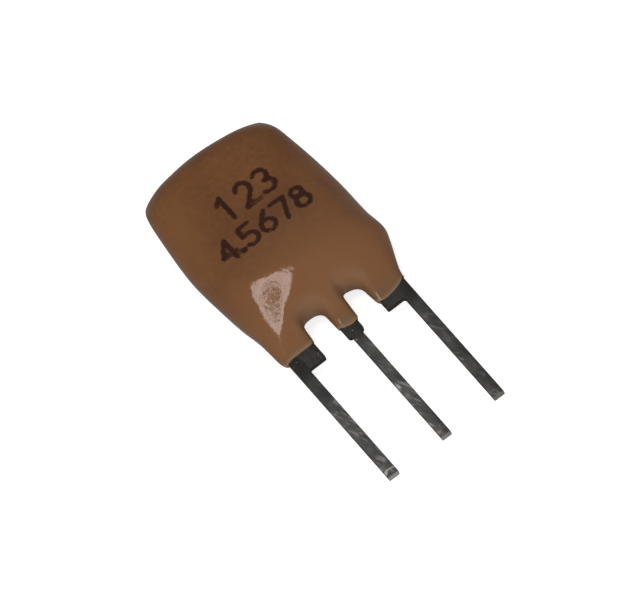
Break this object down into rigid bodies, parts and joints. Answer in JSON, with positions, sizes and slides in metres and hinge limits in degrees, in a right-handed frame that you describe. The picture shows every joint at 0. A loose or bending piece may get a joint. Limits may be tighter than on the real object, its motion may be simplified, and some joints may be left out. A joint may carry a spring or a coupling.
{
  "type": "ceramic resonator",
  "caption": "Flat dip-coated ceramic resonator with built-in load capacitors, on a row of flat leads with seating shoulders, for setting a circuit's clock.",
  "frame": {"origin": "centre of the middle lead, through its width and thickness, at the seating plane where the shoulders stop on the board", "axes": "+Y along the leads towards the top of the body, +Z out of the front face, +X to the right as seen from the front with the leads down; the part lies on its flat back"},
  "size_m": [0.0069, 0.016, 0.0027],
  "materials": {
    "epoxy": "semi-gloss brown epoxy, slightly wavy from dipping",
    "lead_metal": "dull dark grey tin plating with fine scratches",
    "piezo_ceramic": "matt lapped",
    "chip_ceramic": "matt fired",
    "silver_film": "matt fired silver",
    "solder": "satin"
  },
  "bodies": {
    "root": {"epoxy_coat": "epoxy", "input_lead": "lead_metal", "ground_lead": "lead_metal", "output_lead": "lead_metal", "resonator_plate": "piezo_ceramic", "input_electrode": "silver_film", "output_electrode": "silver_film", "capacitor_chip": "chip_ceramic", "input_band": "silver_film", "ground_band": "silver_film", "output_band": "silver_film", "input_chip_solder": "solder", "ground_chip_solder": "solder", "output_chip_solder": "solder", "input_plate_solder": "solder", "output_plate_solder": "solder"}
  },
  "joints": []
}
